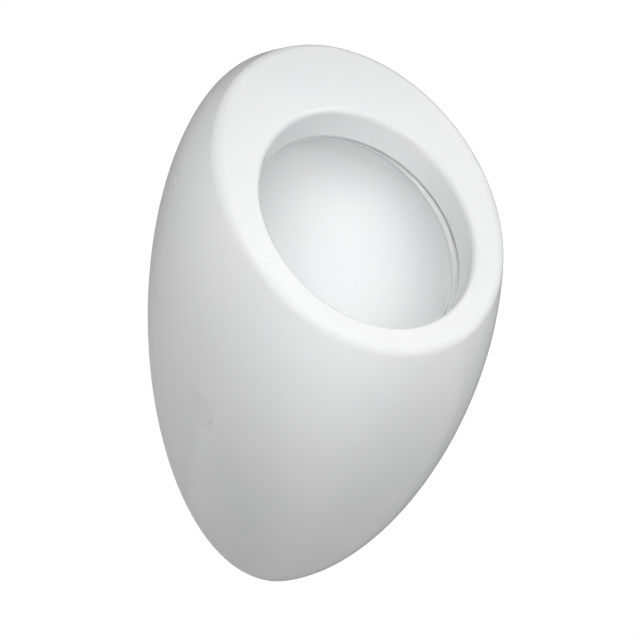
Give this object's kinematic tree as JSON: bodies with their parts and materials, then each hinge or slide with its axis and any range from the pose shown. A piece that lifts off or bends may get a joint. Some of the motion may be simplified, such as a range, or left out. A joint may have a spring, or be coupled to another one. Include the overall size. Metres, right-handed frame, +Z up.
{
  "type": "wall hung urinal",
  "caption": "Egg-shaped wall hung urinal in glazed ceramic with a tilted oval mouth, hidden side fixings, rear inlet and concealed trap.",
  "frame": {"origin": "centre of the four wall fixing slots, in the wall plane", "axes": "+X to the right seen from the room, +Y into the wall, +Z up; the mouth faces -Y"},
  "size_m": [0.3488, 0.389, 0.5995],
  "materials": {
    "ceramic": "gloss",
    "steel": "zinc plated",
    "stainless": "brushed",
    "bright_steel": "polished",
    "rubber": "matt",
    "white_plastic": "gloss",
    "trap_plastic": "satin",
    "nylon": "satin",
    "brass": "machined",
    "fibre": "matt"
  },
  "bodies": {
    "urinal": {"ceramic_body": "ceramic", "wall_arm_upper_left": "steel", "wall_arm_upper_right": "steel", "wall_arm_lower_left": "steel", "wall_arm_lower_right": "steel", "arm_nuts": "steel", "arm_pads": "rubber", "head_washers": "nylon", "side_screws_upper": "stainless", "side_screws_lower": "stainless", "waste_flange": "stainless", "waste_gasket_upper": "rubber", "waste_gasket_lower": "rubber", "trap_head": "trap_plastic", "trap_cup": "trap_plastic", "cup_seal": "rubber", "cup_ring": "trap_plastic", "outlet_seal": "rubber", "outlet_nut": "trap_plastic", "outlet_pipe": "trap_plastic", "inlet_grommet": "rubber", "inlet_tailpiece": "brass", "inlet_washer": "fibre", "inlet_nut": "brass"},
    "waste_insert": {"dip_tube": "trap_plastic", "dip_o_ring": "rubber", "strainer": "bright_steel", "strainer_screw": "stainless"},
    "cap_left": {"access_cap_left": "white_plastic"},
    "cap_right": {"access_cap_right": "white_plastic"}
  },
  "joints": [
    {"name": "insert_lift", "type": "slide", "parent": "urinal", "child": "waste_insert", "axis": [0, 0, 1], "range_m": [0, 0.135]},
    {"name": "cap_left_pull", "type": "slide", "parent": "urinal", "child": "cap_left", "axis": [-1, 0, 0], "range_m": [0, 0.03]},
    {"name": "cap_right_pull", "type": "slide", "parent": "urinal", "child": "cap_right", "axis": [1, 0, 0], "range_m": [0, 0.03]}
  ]
}
